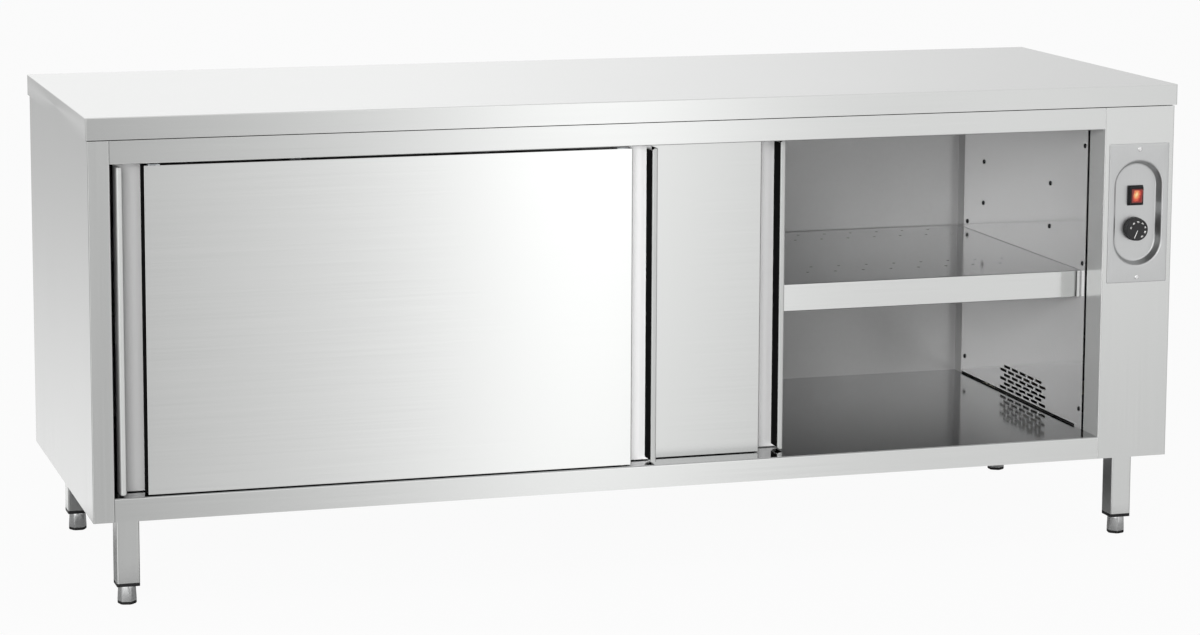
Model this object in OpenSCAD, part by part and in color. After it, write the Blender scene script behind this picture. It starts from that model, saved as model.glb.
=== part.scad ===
// Hot cupboard in folded stainless steel: a flat worktop, two sliding doors
// that pass each other in front of one long compartment with a perforated
// shelf, and a control column with a fan heater behind it. Lengths are in
// millimetres. The front faces -Y and the origin lies on the floor under the
// middle of the worktop.

/* [Overall] */
// Width of the worktop, end to end
width = 2000; // [1700:10:2300]
// Depth of the worktop, front to back
depth = 700; // [660:10:800]
// Height of the worktop over the floor
height = 850; // [800:5:950]

/* [Worktop] */
// Height of the folded worktop edge
worktop_h = 38; // [32:1:50]
// Open joint between the worktop edge and the cabinet
worktop_reveal = 2; // [1:0.5:4]
// Worktop past the cabinet sides
side_overhang = 3; // [1:0.5:8]
// Worktop past the cabinet front and back
front_overhang = 4; // [3:0.5:8]
// Edge folded in under the worktop
worktop_return = 18; // [14:1:26]

/* [Cabinet] */
// Thickness of the steel sheet
sheet = 1; // [0.8:0.1:1.5]
// Inside radius of the folds
fold_r = 1; // [0.6:0.1:1.5]
// Clear height under the cabinet
ground_h = 158; // [140:1:200]
// Height of the rails over and under the doors
rail_h = 40; // [38:1:60]
// Width of the post on the left
post_w = 37; // [30:1:60]
// Width of the control column on the right
column_w = 138; // [132:1:170]
// Depth of the door frame
frame_d = 65; // [50:1:70]
// Width of the flanges that stiffen the sheets
flange_w = 20; // [14:1:24]
// Space between the back panel and the inner back wall
back_space = 14; // [8:1:30]
// Depth of the folded ends of the inner back wall
back_return = 30; // [20:1:40]
// Gap between the door frame and the side walls
wall_slot = 9; // [3:0.5:12]
// Height of the air gap between the floor plate and the right wall
floor_gap = 4; // [2:0.5:5]

/* [Doors] */
// Thickness of a door
door_t = 36; // [32:1:38]
// Door front behind the cabinet front
door_setback = 8; // [6:0.5:10]
// Gap between the two doors where they pass
door_pass = 6; // [4:0.5:8]
// Gap between a closed door and the frame
door_end_gap = 12; // [8:1:16]
// Gap over the doors
door_top_gap = 5; // [4:0.5:8]
// Gap between the doors and the floor plate
door_floor_gap = 1.8; // [1.2:0.2:4]
// Overlap of the two doors when both are closed
door_overlap = 113; // [105:1:160]
// Travel of the rear door from closed to the place shown
rear_open = 587; // [300:1:700]
// Width of the rounded lip at each door edge
lip_w = 10.5; // [9:0.5:14]
// Radius of the lip's front corners
lip_r = 3.5; // [2:0.5:4]
// Width of the finger recess beside each lip
recess_w = 36; // [30:1:44]
// Diameter of the door rollers
roller_d = 22; // [18:1:24]

/* [Shelf] */
// Height of the shelf surface over the floor plate
shelf_rise = 297; // [240:1:340]
// Height of the folded front edge of the shelf
shelf_lip = 50; // [30:1:60]
// Gap between the shelf and the side walls
shelf_gap = 2; // [1:0.5:5]
// Diameter of the holes in the shelf
perf_d = 6; // [4:0.5:8]
// Spacing of the holes along a row
perf_spacing = 55; // [40:1:80]

/* [Air vent] */
// Length of a vent slot
vent_l = 31; // [24:1:34]
// Height of a vent slot
vent_h = 5.5; // [4:0.5:6.5]
// Spacing of the slots along a row
vent_spacing = 37; // [36:1:42]
// Spacing of the rows of slots
vent_row_h = 8.6; // [8:0.2:10]

/* [Legs] */
// Width of the square leg tube
leg_w = 40; // [35:1:50]
// Worktop edge to the outer face of a leg, at the sides
leg_in_x = 49; // [40:1:80]
// Worktop edge to the outer face of a leg, at front and back
leg_in_y = 50; // [44:1:80]
// Height of a foot from the floor to the plastic cap
foot_h = 33; // [28:1:38]
// Width of the six-sided base of a foot, across its corners
foot_d = 33; // [28:1:38]
// Travel of the levelling thread
foot_travel = 20; // [15:1:25]

/* [Controls] */
// Width of the control plate
plate_w = 119; // [112:1:124]
// Height of the control plate
plate_h = 257; // [240:1:280]
// Plate to the left and right of the drawn recess
bowl_side = 12.5; // [10:0.5:16]
// Plate over and under the drawn recess
bowl_end = 32; // [28:1:40]
// Depth of the drawn recess
bowl_d = 16; // [12:0.5:20]
// Draw-in of the recess wall from its rim to its floor
bowl_draft = 6; // [4:0.5:8]
// Cabinet top down to the plate centre
plate_drop = 196; // [180:1:260]
// Distance from the plate centre up to the switch and down to the knob
control_rise = 31; // [29:0.5:34]
// Diameter of the thermostat knob
knob_d = 43; // [36:1:44]

/* [Hidden] */
$fn = 48;

// Cuts run past the faces that they open by this much
overrun = 5;
// Clearance between a round piece and what it turns in
run_fit = 0.1;
// Clearance between fixed round pieces, and beside moving ones
free_fit = 0.3;

// Cabinet planes
hs = sheet / 2;
half_w = width / 2;
half_d = depth / 2;
cab_x = half_w - side_overhang;
cab_y = half_d - front_overhang;
front_y = -cab_y;
top_z0 = height - worktop_h;
cab_top = top_z0 - worktop_reveal;
cab_bottom = ground_h;
open_x0 = post_w - cab_x;
open_x1 = cab_x - column_w;
open_z0 = cab_bottom + rail_h;
open_z1 = cab_top - rail_h;
pan_top = cab_bottom + sheet;
roof_z = cab_top - sheet;
floor_z = open_z0 + sheet;
back_in_y = cab_y - sheet - back_space;
edge_r = sheet + fold_r;
rail_return = 8;
rail_hem = 10;
floor_lap = 14;
wall_gap = 2;
bearer_w = 40;
bearer_shares = [0.14, 0.38, 0.66, 0.88];
worktop_bearer_shares = [-0.8, -0.27, 0.27, 0.8];

// Door places and sizes
skin_t = 1;
panel_d = door_t - skin_t;
door_w = (open_x1 - open_x0 + door_overlap) / 2 - door_end_gap;
door_z0 = floor_z + door_floor_gap;
door_z1 = open_z1 - door_top_gap;
front_door_y = front_y + door_setback;
rear_door_y = front_door_y + door_t + door_pass;
front_door_x = open_x0 + door_end_gap;
rear_door_x = open_x1 - door_end_gap - door_w - rear_open;
lip_inset = 1.5;
lip_chamfer = 5;
panel_x = lip_w + recess_w;

// Door hanging gear
bracket_t = 2;
hanger_w = 20;
hanger_inset = 18;
hanger_in = panel_x + hanger_inset;
axle_r = 3;
axle_head_r = 4.5;
axle_head = 1.5;
roller_w = 7;
roller_r = roller_d / 2;
track_web = 5;
track_seat = 1;
ledge_rise = 5;
ledge_z = open_z1 + ledge_rise;
ledge_top = ledge_z + sheet;
axle_z = ledge_top + free_fit + roller_r;
web_y = track_web + hs;
roller_y = web_y + hs + track_seat + axle_head;
ledge_end = roller_y + roller_w + track_seat;
hanger_y = ledge_end + free_fit + bracket_t / 2;
hanger_top = 7;
hanger_foot = 15;
stop_l = 22;
pin_r = 3;
pin_rise = 10;
pin_head_r = 8;
pin_head = 3;
guide_slot_w = 8;
pin_x = (front_door_x + door_w + open_x1 - door_end_gap - door_w) / 2;

// Shelf and walls
shelf_z = floor_z + shelf_rise;
shelf_clear = 4;
shelf_y0 = rear_door_y + door_t + shelf_clear;
shelf_y1 = back_in_y - shelf_clear;
shelf_return = 14;
shelf_back_lip = 25;
perf_rows_shares = [0.2, 0.295, 0.825, 0.925];
runner_h = 30;
runner_w = 24;
runner_y0 = shelf_y0 + shelf_return + shelf_clear;
runner_y1 = shelf_y1 - shelf_clear - sheet;
beam_w = 60;
beam_h = 24;
peg_r = 2.5;
peg_head_r = 4.5;
peg_head = 2.5;
peg_rise = 62;
peg_spacing = 82;
peg_rows = 2;
peg_y_shares = [0.265, 0.788];
wall_y0 = front_y + frame_d + wall_slot;
wall_y1 = back_in_y - back_return - wall_gap;
wall_screw_in = 18;
wall_screw_front = 10;
wall_screw_shares = [0.06, 0.51, 0.87];
vent_cols = 6;
vent_rows = 6;
vent_rise = 7;
vent_y_share = 0.451;
vent_y = wall_y0 + vent_y_share * (back_in_y - wall_y0);
back_screw_in = 9;
back_screws_x = 6;

// Legs and feet
leg_wall = 1.5;
leg_r = 3;
leg_plate = 80;
leg_plate_t = 3;
cap_h = 6;
cap_plug = 22;
plug_fit = 0.5;
stem_r = 5;
stem_hold = 20;
stem_up = foot_travel + stem_hold;
foot_pad = 3.5;
foot_chamfer = 1.5;
foot_gap = 1;
foot_crown = 0.3;
foot_top_share = 0.91;
foot_turns = [46, 19, 0, 30];
leg_x = half_w - leg_in_x - leg_w / 2;
leg_y = half_d - leg_in_y - leg_w / 2;
leg_z0 = foot_h + cap_h;

// Control plate
plate_t = 2.5;
plate_bevel = 3;
plate_x = (open_x1 + cab_x) / 2;
plate_z = cab_top - plate_drop;
bowl_w = plate_w - 2 * bowl_side;
bowl_h = plate_h - 2 * bowl_end;
plate_y = front_y - plate_t;
bowl_y = plate_y + bowl_d;
bowl_back = bowl_y + sheet;
bowl_hole = 3;
plate_screw_in = 10;
plate_screw_r = 2;
plate_screw_head_r = 4;
plate_screw_head = 1.4;
plate_screw_l = 8;

// Rocker switch
switch_z = plate_z + control_rise;
bezel_w = 31;
bezel_h = 37;
bezel_t = 2;
hood_w = 25;
hood_h = 33;
hood_d = 10;
switch_body_d = 24;
rocker_w = 21.4;
rocker_r = 14;
rocker_pivot = 7;
rocker_front = 5;
rocker_tilt = 10;
rocker_face = 12;

// Thermostat and knob
knob_z = plate_z - control_rise;
knob_skirt = 4;
knob_step = 0.6;
knob_edge = 1;
knob_h = 14;
knob_gap = 1;
knob_wall = 3;
shaft_r = 3;
bush_r = 5;
bush_h = 2;
stat_w = 36;
stat_h = 48;
stat_d = 26;

// Fan heater
duct_w = 122;
duct_l = 264;
duct_h = 96;
duct_x0 = open_x1 + sheet;
duct_z0 = floor_z;
duct_z1 = duct_z0 + duct_h;
fan_w = 112;
fan_t = 32;
fan_wall = 4;
fan_hole_r = fan_w / 2 - fan_wall;
fan_x = duct_x0 + duct_w / 2;
fan_z0 = duct_z1;
hub_r = 18;
hub_t = 16;
blade_t = 1.5;
blade_count = 5;
blade_tilt = 35;
blade_chord = 24;
fan_strut = 5;
fan_motor_r = 20;
fan_motor_h = 10;
fan_spin_gap = 1;
fan_axle_r = 2;
tube_r = 4;
tube_bend = 28;
tube_in = 30;
tube_z = duct_z0 + duct_h / 2;
tube_flange_w = 90;
tube_flange_h = 26;
tube_end = 18;
fin_w = 84;
fin_h = 40;
fin_count = 20;
fin_share = 0.8;
terminal_w = 60;
terminal_d = 24;
terminal_h = 14;
terminal_rib = 8;
terminal_ways = 5;
terminal_y = back_in_y - 3 * terminal_d;
gland_r = 9;
gland_nut_r = 13;
gland_nut = 5;
gland_dome = 12;
gland_bore_r = 4.5;
gland_y = back_in_y - 2 * terminal_w;

// A box between two corners
module box(x0, x1, y0, y1, z0, z1) {
    translate([x0, y0, z0]) cube([x1 - x0, y1 - y0, z1 - z0]);
}

// A rounded rectangle centred on the origin
module round_rect(w, h, r) {
    square([w - 2 * r, h], center = true);
    square([w, h - 2 * r], center = true);
    for (sx = [-1, 1], sy = [-1, 1])
        translate([sx * (w / 2 - r), sy * (h / 2 - r)]) circle(r);
}

// The section of a sheet of thickness t that is folded along a square path
// of its middle line, with the inside radius fold_r at each fold
module folded(path, t) {
    last = len(path) - 1;
    mid_r = fold_r + t / 2;
    for (i = [0 : last - 1]) {
        step = path[i + 1] - path[i];
        dir = step / norm(step);
        a = path[i] + dir * (i == 0 ? 0 : mid_r);
        b = path[i + 1] - dir * (i == last - 1 ? 0 : mid_r);
        side = [-dir[1], dir[0]] * t / 2;
        polygon([a - side, b - side, b + side, a + side]);
    }
    for (i = [1 : 1 : last - 1]) {
        u = (path[i] - path[i - 1]) / norm(path[i] - path[i - 1]);
        v = (path[i + 1] - path[i]) / norm(path[i + 1] - path[i]);
        reach = fold_r + t;
        translate(path[i] + mid_r * (v - u)) intersection() {
            difference() {
                circle(reach);
                circle(fold_r);
            }
            polygon([[0, 0], -v * reach, (u - v) * reach, u * reach]);
        }
    }
}

// A section in Y and Z drawn out along X, from x0 to x1
module along_x(x0, x1) {
    translate([x0, 0, 0]) rotate([90, 0, 90]) linear_extrude(x1 - x0) children();
}

// A section in X and Z drawn out along Y, from y0 to y1
module along_y(y0, y1) {
    translate([0, y1, 0]) rotate([90, 0, 0]) linear_extrude(y1 - y0) children();
}

// A section in X and Y drawn out along Z, from z0 to z1
module along_z(z0, z1) {
    translate([0, 0, z0]) linear_extrude(z1 - z0) children();
}

// A round bar along Y from y0 to y1
module bar_y(x, z, r, y0, y1) {
    translate([x, y1, z]) rotate([90, 0, 0]) cylinder(r = r, h = y1 - y0);
}

// A round bar along X from x0 to x1
module bar_x(y, z, r, x0, x1) {
    translate([x0, y, z]) rotate([0, 90, 0]) cylinder(r = r, h = x1 - x0);
}

// Section of the worktop slab with its upper edges rounded
module slab_section(half) {
    shoulder = height - edge_r;
    flat = half - edge_r;
    polygon([[-half, top_z0], [half, top_z0], [half, shoulder], [-half, shoulder]]);
    polygon([[-flat, top_z0], [flat, top_z0], [flat, height], [-flat, height]]);
    for (s = [-1, 1]) translate([s * flat, shoulder]) circle(edge_r);
}

module worktop() {
    color("gainsboro") difference() {
        intersection() {
            along_x(-half_w, half_w) slab_section(half_d);
            along_y(-half_d, half_d) slab_section(half_w);
            along_z(top_z0, height) round_rect(width, depth, edge_r);
        }
        box(sheet - half_w, half_w - sheet, sheet - half_d, half_d - sheet, top_z0 + sheet, height - sheet);
        box(worktop_return - half_w, half_w - worktop_return,
            worktop_return - half_d, half_d - worktop_return,
            top_z0 - overrun, top_z0 + 2 * sheet);
    }
}

// Channels under the worktop sheet, which carry it on the roof of the cabinet
module worktop_bearers() {
    reach = half_w - 2 * worktop_return;
    color("silver") for (s = worktop_bearer_shares) {
        y = s * half_d - bearer_w / 2;
        along_x(-reach, reach) folded([
            [y, cab_top + hs],
            [y + bearer_w, cab_top + hs],
            [y + bearer_w, height - sheet - hs],
            [y, height - sheet - hs]
        ], sheet);
    }
}

// Sheets that close the cabinet inside its folded sides
module inner_sheet(z0) {
    box(sheet - cab_x, cab_x - sheet, front_y + sheet, cab_y - sheet, z0, z0 + sheet);
}

// Each side is one sheet, folded to the back flange, the side, the front and
// the reveal of the door opening. Its flanges are notched for roof and bottom.
module side_left() {
    color("lightgray") difference() {
        along_z(cab_bottom, cab_top) folded([
            [flange_w - cab_x, cab_y - sheet - hs],
            [hs - cab_x, cab_y - sheet - hs],
            [hs - cab_x, front_y + hs],
            [open_x0 - hs, front_y + hs],
            [open_x0 - hs, front_y + frame_d - hs],
            [open_x0 - flange_w, front_y + frame_d - hs]
        ], sheet);
        inner_sheet(cab_bottom);
        inner_sheet(roof_z);
    }
}

module side_right() {
    color("lightgray") difference() {
        along_z(cab_bottom, cab_top) folded([
            [cab_x - flange_w, cab_y - sheet - hs],
            [cab_x - hs, cab_y - sheet - hs],
            [cab_x - hs, front_y + hs],
            [open_x1 + hs, front_y + hs],
            [open_x1 + hs, front_y + frame_d - hs],
            [open_x1 + flange_w, front_y + frame_d - hs]
        ], sheet);
        inner_sheet(cab_bottom);
        inner_sheet(roof_z);
        along_y(front_y - overrun, front_y + overrun) translate([plate_x, plate_z])
            round_rect(bowl_w + bowl_hole, bowl_h + bowl_hole, bowl_w / 2);
        for (z = plate_screw_z())
            bar_y(plate_x, z, plate_screw_r + free_fit, front_y - overrun, front_y + overrun);
    }
}

module back_panel() {
    color("silver") difference() {
        box(sheet - cab_x, cab_x - sheet, cab_y - sheet, cab_y, cab_bottom, cab_top);
        for (p = back_screw_places())
            bar_y(p[0], p[1], peg_r + free_fit, cab_y - overrun, cab_y + overrun);
    }
}

module bottom_pan() {
    color("silver") difference() {
        inner_sheet(cab_bottom);
        translate([plate_x, gland_y, cab_bottom - overrun])
            cylinder(r = gland_r + free_fit, h = 2 * overrun);
    }
}

module ceiling() {
    color("silver") inner_sheet(roof_z);
}

module top_rail() {
    color("gainsboro") along_x(open_x0, open_x1) folded([
        [front_y + hs, cab_top],
        [front_y + hs, open_z1 + hs],
        [front_y + rail_return - hs, open_z1 + hs],
        [front_y + rail_return - hs, open_z1 + rail_hem]
    ], sheet);
}

module bottom_rail() {
    color("gainsboro") along_x(open_x0, open_x1) folded([
        [front_y + hs, cab_bottom],
        [front_y + hs, open_z0 - hs],
        [front_y + floor_lap, open_z0 - hs]
    ], sheet);
}

// Places of the pegs on a side wall, as [y, z]
function peg_places() = [
    for (s = peg_y_shares, i = [-1 : peg_rows - 1])
        [wall_y0 + s * (back_in_y - wall_y0),
         i < 0 ? shelf_z - sheet - runner_h / 2 : shelf_z + peg_rise + i * peg_spacing]
];

// Places of the screws along the two edges of a side wall, as [y, z]
function wall_screw_places() = [
    for (s = wall_screw_shares, y = [wall_y0 + wall_screw_front, wall_y1 - wall_screw_in])
        [y, floor_z + s * (roof_z - floor_z)]
];

// Places of the screws along the edges of the back panel, as [x, z]
function back_screw_places() = [
    for (i = [0 : back_screws_x - 1], z = [cab_bottom + back_screw_in, cab_top - back_screw_in])
        [(2 * i / (back_screws_x - 1) - 1) * (cab_x - sheet - back_screw_in), z]
];

// Heights of the two screws of the control plate
function plate_screw_z() = [for (s = [-1, 1]) plate_z + s * (plate_h / 2 - plate_screw_in)];

module wall(x0) {
    difference() {
        box(x0, x0 + sheet, wall_y0, wall_y1, pan_top, roof_z);
        for (p = concat(peg_places(), wall_screw_places()))
            bar_x(p[0], p[1], peg_r + free_fit, x0 - overrun, x0 + sheet + overrun);
    }
}

module liner_left() {
    color("lightgray") wall(open_x0 - sheet);
}

// The right wall has an air gap along the floor, and rows of slots in a brick pattern over it
module liner_right() {
    color("lightgray") difference() {
        wall(open_x1);
        box(open_x1 - overrun, open_x1 + overrun, wall_y0 + back_return, wall_y1 - wall_gap,
            floor_z, floor_z + floor_gap);
        for (row = [0 : vent_rows - 1], col = [0 : vent_cols - 1]) {
            shift = row % 2 == 0 ? 0 : vent_spacing / 2;
            y0 = vent_y - vent_cols * vent_spacing / 2 + col * vent_spacing + shift;
            z0 = floor_z + vent_rise + row * vent_row_h;
            if (shift == 0 || col < vent_cols - 1)
                box(open_x1 - overrun, open_x1 + overrun, y0, y0 + vent_l, z0, z0 + vent_h);
        }
    }
}

module liner_back() {
    color("lightgray") along_z(pan_top, roof_z) folded([
        [open_x0 - hs, back_in_y - back_return],
        [open_x0 - hs, back_in_y + hs],
        [open_x1 + hs, back_in_y + hs],
        [open_x1 + hs, back_in_y - back_return]
    ], sheet);
}

module floor_plate() {
    color("darkgray") difference() {
        box(open_x0, open_x1, front_y + edge_r, back_in_y, open_z0, floor_z);
        for (y = guide_y())
            translate([pin_x, y, open_z0 - overrun]) cylinder(r = pin_r + free_fit, h = 2 * overrun);
    }
}

// Channels between the cabinet bottom and the floor plate
module floor_bearers() {
    color("silver") for (s = bearer_shares) {
        x = open_x0 + s * (open_x1 - open_x0);
        along_y(front_y + floor_lap + wall_gap, back_in_y) folded([
            [x, pan_top + hs],
            [x + bearer_w, pan_top + hs],
            [x + bearer_w, open_z0 - hs],
            [x, open_z0 - hs]
        ], sheet);
    }
}

module shelf() {
    x0 = open_x0 + shelf_gap;
    x1 = open_x1 - shelf_gap;
    count = floor((x1 - x0 - 2 * runner_w) / perf_spacing);
    color("lightgray") difference() {
        along_x(x0, x1) folded([
            [shelf_y0 + shelf_return, shelf_z - shelf_lip + hs],
            [shelf_y0 + hs, shelf_z - shelf_lip + hs],
            [shelf_y0 + hs, shelf_z - hs],
            [shelf_y1 - hs, shelf_z - hs],
            [shelf_y1 - hs, shelf_z - shelf_back_lip]
        ], sheet);
        for (row = [0 : len(perf_rows_shares) - 1], i = [0 : count - 1 - row % 2]) {
            x = (x0 + x1) / 2 + (i - (count - 1 - row % 2) / 2) * perf_spacing;
            y = shelf_y0 + perf_rows_shares[row] * (shelf_y1 - shelf_y0);
            translate([x, y, shelf_z - overrun]) cylinder(r = perf_d / 2, h = 2 * overrun);
        }
    }
}

// Angles on the side walls that carry the ends of the shelf
module shelf_runners() {
    under = shelf_z - sheet;
    color("silver") for (side = [[open_x0, 1], [open_x1, -1]]) difference() {
        along_y(runner_y0, runner_y1) folded([
            [side[0] + side[1] * hs, under - runner_h],
            [side[0] + side[1] * hs, under - hs],
            [side[0] + side[1] * runner_w, under - hs]
        ], sheet);
        for (p = peg_places())
            bar_x(p[0], p[1], peg_r + free_fit, side[0] - overrun, side[0] + overrun);
    }
}

// Hat-shaped stiffener along the middle of the shelf's underside
module shelf_beam() {
    under = shelf_z - sheet - hs;
    mid = (shelf_y0 + shelf_y1) / 2;
    color("silver") along_x(open_x0 + runner_w + wall_gap, open_x1 - runner_w - wall_gap) folded([
        [mid - beam_w, under],
        [mid - beam_w / 2, under],
        [mid - beam_w / 2, under - beam_h],
        [mid + beam_w / 2, under - beam_h],
        [mid + beam_w / 2, under],
        [mid + beam_w, under]
    ], sheet);
}

// A screw with a rounded head, along +X from the face that its head seats on
module wall_screw(len) {
    rotate([0, 90, 0]) {
        translate([0, 0, -peg_head])
            cylinder(r1 = peg_head_r - peg_head / 2, r2 = peg_head_r, h = peg_head);
        cylinder(r = peg_r, h = len);
    }
}

// Pegs at the shelf heights of both walls, with the lowest pair through the runners
module wall_pegs() {
    color("dimgray") for (p = peg_places()) {
        seat = p[1] < shelf_z ? sheet : 0;
        translate([open_x1 - seat, p[0], p[1]]) wall_screw(seat + 3 * sheet);
        translate([open_x0 + seat, p[0], p[1]]) mirror([1, 0, 0]) wall_screw(seat + 3 * sheet);
    }
}

// Screws of the side walls, the back panel and the control plate
module screws() {
    color("silver") {
        for (p = wall_screw_places()) {
            translate([open_x1, p[0], p[1]]) wall_screw(3 * sheet);
            translate([open_x0, p[0], p[1]]) mirror([1, 0, 0]) wall_screw(3 * sheet);
        }
        for (p = back_screw_places())
            translate([p[0], cab_y, p[1]]) rotate([0, 0, -90]) wall_screw(sheet);
        for (z = plate_screw_z()) translate([plate_x, plate_y, z]) rotate([90, 0, 0]) {
            rim_r = plate_screw_head_r - plate_screw_head / 2;
            cylinder(r1 = plate_screw_head_r, r2 = rim_r, h = plate_screw_head);
            translate([0, 0, -plate_screw_l]) cylinder(r = plate_screw_r, h = plate_screw_l);
        }
    }
}

// One channel for each door under the roof: the rollers run on its lower ledge
module door_tracks() {
    color("silver") for (y = [front_door_y, rear_door_y]) along_x(open_x0, open_x1) folded([
        [y + ledge_end, roof_z - hs],
        [y + web_y, roof_z - hs],
        [y + web_y, ledge_z + hs],
        [y + ledge_end, ledge_z + hs]
    ], sheet);
}

// Rubber blocks on the ledges that stop the rollers at both ends
module track_stops() {
    reach = door_end_gap + hanger_in - roller_r - free_fit;
    color("black") for (y = [front_door_y, rear_door_y], x = [open_x0 + reach - stop_l, open_x1 - reach])
        box(x, x + stop_l, y + web_y + edge_r, y + ledge_end, ledge_top, ledge_top + roller_r);
}

// Middle lines of the two guide slots
function guide_y() = [front_door_y + panel_d / 2, rear_door_y + panel_d / 2];

// Pins through the floor plate that guide the lower edges of both doors
module guide_pins() {
    color("white") for (y = guide_y()) translate([pin_x, y, open_z0]) {
        cylinder(r = pin_r, h = sheet + door_floor_gap + pin_rise);
        translate([0, 0, -pin_head]) cylinder(r = pin_head_r, h = pin_head);
    }
}

// Sheet that closes one end of a door tray, let into the tray's walls
module door_end(x0, x1, y0, y1, z) {
    box(x0 + hs, x1 - hs, y0 + edge_r, y1, z, z + sheet);
    box(x0 + edge_r, x1 - edge_r, y0 + hs, y0 + 2 * edge_r, z, z + sheet);
}

// Front of a door: a tray that is open at the back, with a guide slot below
module door_panel(x, y) {
    x0 = x + panel_x;
    x1 = x + door_w - panel_x;
    y1 = y + panel_d;
    along_z(door_z0, door_z1) folded([
        [x0 + hs, y1], [x0 + hs, y + hs], [x1 - hs, y + hs], [x1 - hs, y1]
    ], sheet);
    door_end(x0, x1, y, y1, door_z1 - sheet);
    difference() {
        door_end(x0, x1, y, y1, door_z0);
        box(x0 + sheet, x1 - sheet, y + (panel_d - guide_slot_w) / 2, y + (panel_d + guide_slot_w) / 2,
            door_z0 - overrun, door_z0 + sheet + overrun);
    }
}

// Back of a door: one flat sheet, which is also the floor of the finger recesses
module door_skin(x, y) {
    box(x, x + door_w, y + panel_d, y + door_t, door_z0, door_z1);
}

// Section of a lip from its outer edge inwards, with the corners of its front round
module lip_section(w, d, r) {
    translate([r, 0]) square([w - 2 * r, d]);
    translate([0, r]) square([w, d - r]);
    for (x = [r, w - r]) translate([x, r]) circle(r);
}

// Hollow lip along a door edge, with the inner corner of each end cut off
module door_lip() {
    z0 = door_z0 + lip_inset;
    z1 = door_z1 - lip_inset;
    difference() {
        along_z(z0, z1) difference() {
            lip_section(lip_w, panel_d, lip_r);
            translate([sheet, sheet]) lip_section(lip_w - 2 * sheet, panel_d, lip_r - sheet);
        }
        for (end = [z0, z1]) translate([lip_w, -overrun, end]) rotate([0, 45, 0])
            translate([-lip_chamfer / 2, 0, -lip_chamfer / 2])
                cube([lip_chamfer, panel_d + 2 * overrun, lip_chamfer]);
    }
}

module door_lips(x, y) {
    translate([x, y, 0]) door_lip();
    translate([x + door_w, y, 0]) mirror([1, 0, 0]) door_lip();
}

// Places of the two hangers along a door
function hanger_x(x) = [x + hanger_in, x + door_w - hanger_in];

// Angle brackets on the top of a door, each with a fixed axle for its roller
module door_hangers(x, y) {
    half_t = bracket_t / 2;
    plate = y + hanger_y;
    for (hx = hanger_x(x)) {
        along_x(hx - hanger_w / 2, hx + hanger_w / 2) folded([
            [plate - hanger_foot, door_z1 + half_t],
            [plate, door_z1 + half_t],
            [plate, axle_z + hanger_top]
        ], bracket_t);
        head = y + roller_y - run_fit;
        bar_y(hx, axle_z, axle_r, head, plate);
        bar_y(hx, axle_z, axle_head_r, head - axle_head + free_fit, head);
    }
}

// Nylon roller on an axle
module door_roller(hx, y) {
    difference() {
        bar_y(hx, axle_z, roller_r, y + roller_y, y + roller_y + roller_w);
        bar_y(hx, axle_z, axle_r + run_fit, y + roller_y - overrun, y + roller_y + roller_w + overrun);
    }
}

module front_panel() {
    color("whitesmoke") door_panel(front_door_x, front_door_y);
}

module front_skin() {
    color("lightgray") door_skin(front_door_x, front_door_y);
}

module front_lips() {
    color("gainsboro") door_lips(front_door_x, front_door_y);
}

module front_hangers() {
    color("silver") door_hangers(front_door_x, front_door_y);
}

module front_roller_a() {
    color("white") door_roller(hanger_x(front_door_x)[0], front_door_y);
}

module front_roller_b() {
    color("white") door_roller(hanger_x(front_door_x)[1], front_door_y);
}

module rear_panel() {
    color("whitesmoke") door_panel(rear_door_x, rear_door_y);
}

module rear_skin() {
    color("lightgray") door_skin(rear_door_x, rear_door_y);
}

module rear_lips() {
    color("gainsboro") door_lips(rear_door_x, rear_door_y);
}

module rear_hangers() {
    color("silver") door_hangers(rear_door_x, rear_door_y);
}

module rear_roller_a() {
    color("white") door_roller(hanger_x(rear_door_x)[0], rear_door_y);
}

module rear_roller_b() {
    color("white") door_roller(hanger_x(rear_door_x)[1], rear_door_y);
}

// Square tube leg with the plate that bolts it under the cabinet
module leg(sx, sy) {
    color("silver") translate([sx * leg_x, sy * leg_y, 0]) {
        along_z(leg_z0, cab_bottom - leg_plate_t) difference() {
            round_rect(leg_w, leg_w, leg_r);
            round_rect(leg_w - 2 * leg_wall, leg_w - 2 * leg_wall, leg_r - leg_wall);
        }
        along_z(cab_bottom - leg_plate_t, cab_bottom) square(leg_plate, center = true);
    }
}

// Plastic plug in the lower end of a leg, drilled for the stem of the foot
module cap(sx, sy) {
    plug_w = leg_w - 2 * (leg_wall + plug_fit);
    color("black") translate([sx * leg_x, sy * leg_y, 0]) difference() {
        union() {
            along_z(foot_h, leg_z0) round_rect(leg_w, leg_w, leg_r);
            along_z(leg_z0, leg_z0 + cap_plug) round_rect(plug_w, plug_w, leg_r - leg_wall);
        }
        translate([0, 0, foot_h - overrun])
            cylinder(r = stem_r + run_fit, h = cap_h + cap_plug + 2 * overrun);
    }
}

// Corners of the six-sided base of a foot
function foot_corners() = [for (i = [0 : 5]) foot_d / 2 * [cos(60 * i), sin(60 * i)]];

// Levelling foot: a six-sided body turned to a cone towards its top, and its stem
module foot(sx, sy, turn) {
    crown_r = foot_d / 2 + foot_crown;
    top_r = foot_top_share * foot_d / 2;
    top = foot_h - foot_gap;
    color("silver") translate([sx * leg_x, sy * leg_y, 0]) {
        intersection() {
            along_z(0, top) rotate(turn) polygon(foot_corners());
            rotate_extrude() polygon([
                [0, 0], [crown_r - foot_chamfer, 0], [crown_r, foot_chamfer], [crown_r, foot_pad],
                [top_r, top], [0, top]
            ]);
        }
        along_z(foot_pad, foot_h + stem_up) circle(stem_r);
    }
}

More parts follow.
